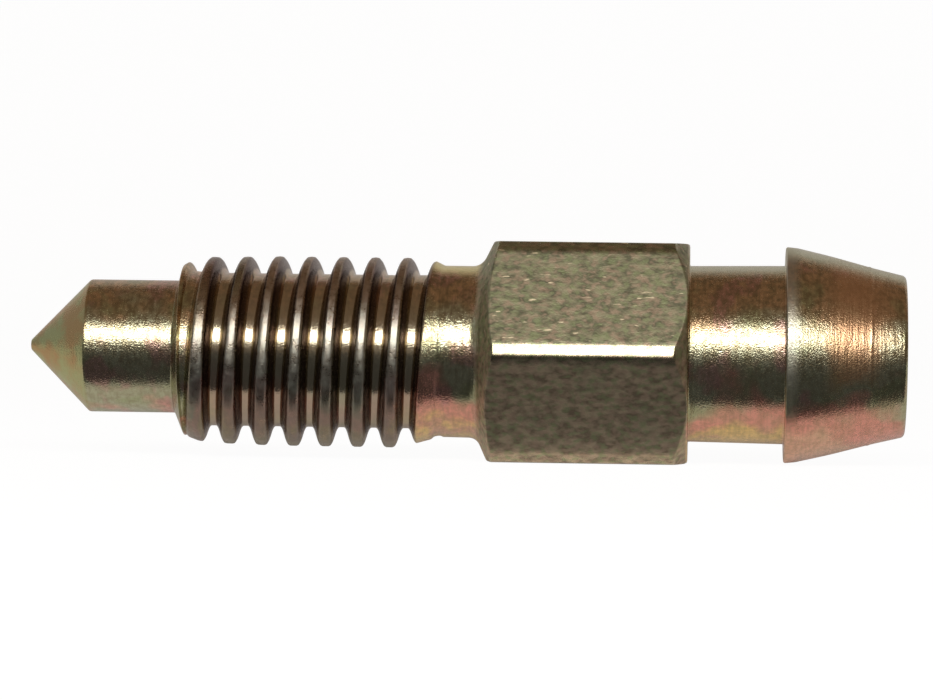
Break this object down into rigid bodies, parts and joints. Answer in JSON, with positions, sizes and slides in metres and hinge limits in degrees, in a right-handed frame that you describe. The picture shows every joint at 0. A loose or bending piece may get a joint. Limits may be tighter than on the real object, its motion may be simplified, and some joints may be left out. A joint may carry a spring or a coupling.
{
  "type": "bleeder screw",
  "caption": "Brake bleeder screw: sealing cone and pilot, coarse rolled thread, hexagon and barbed hose nipple, drilled from the nipple down to a cross hole in the pilot.",
  "frame": {"origin": "on the axis of the screw, where the thread starts behind the pilot", "axes": "+X along the axis towards the nipple's open end, -X towards the sealing cone, +Z out of the upper flat of the hexagon, a corner of the hexagon towards -Y"},
  "size_m": [0.0272, 0.0076, 0.0068],
  "materials": {
    "plated_steel": "zinc plated steel with a thin iridescent yellow chromate, olive to khaki with green, pink and gold tints, satin to semi-gloss"
  },
  "bodies": {
    "root": {"bleeder_screw": "plated_steel"}
  },
  "joints": []
}
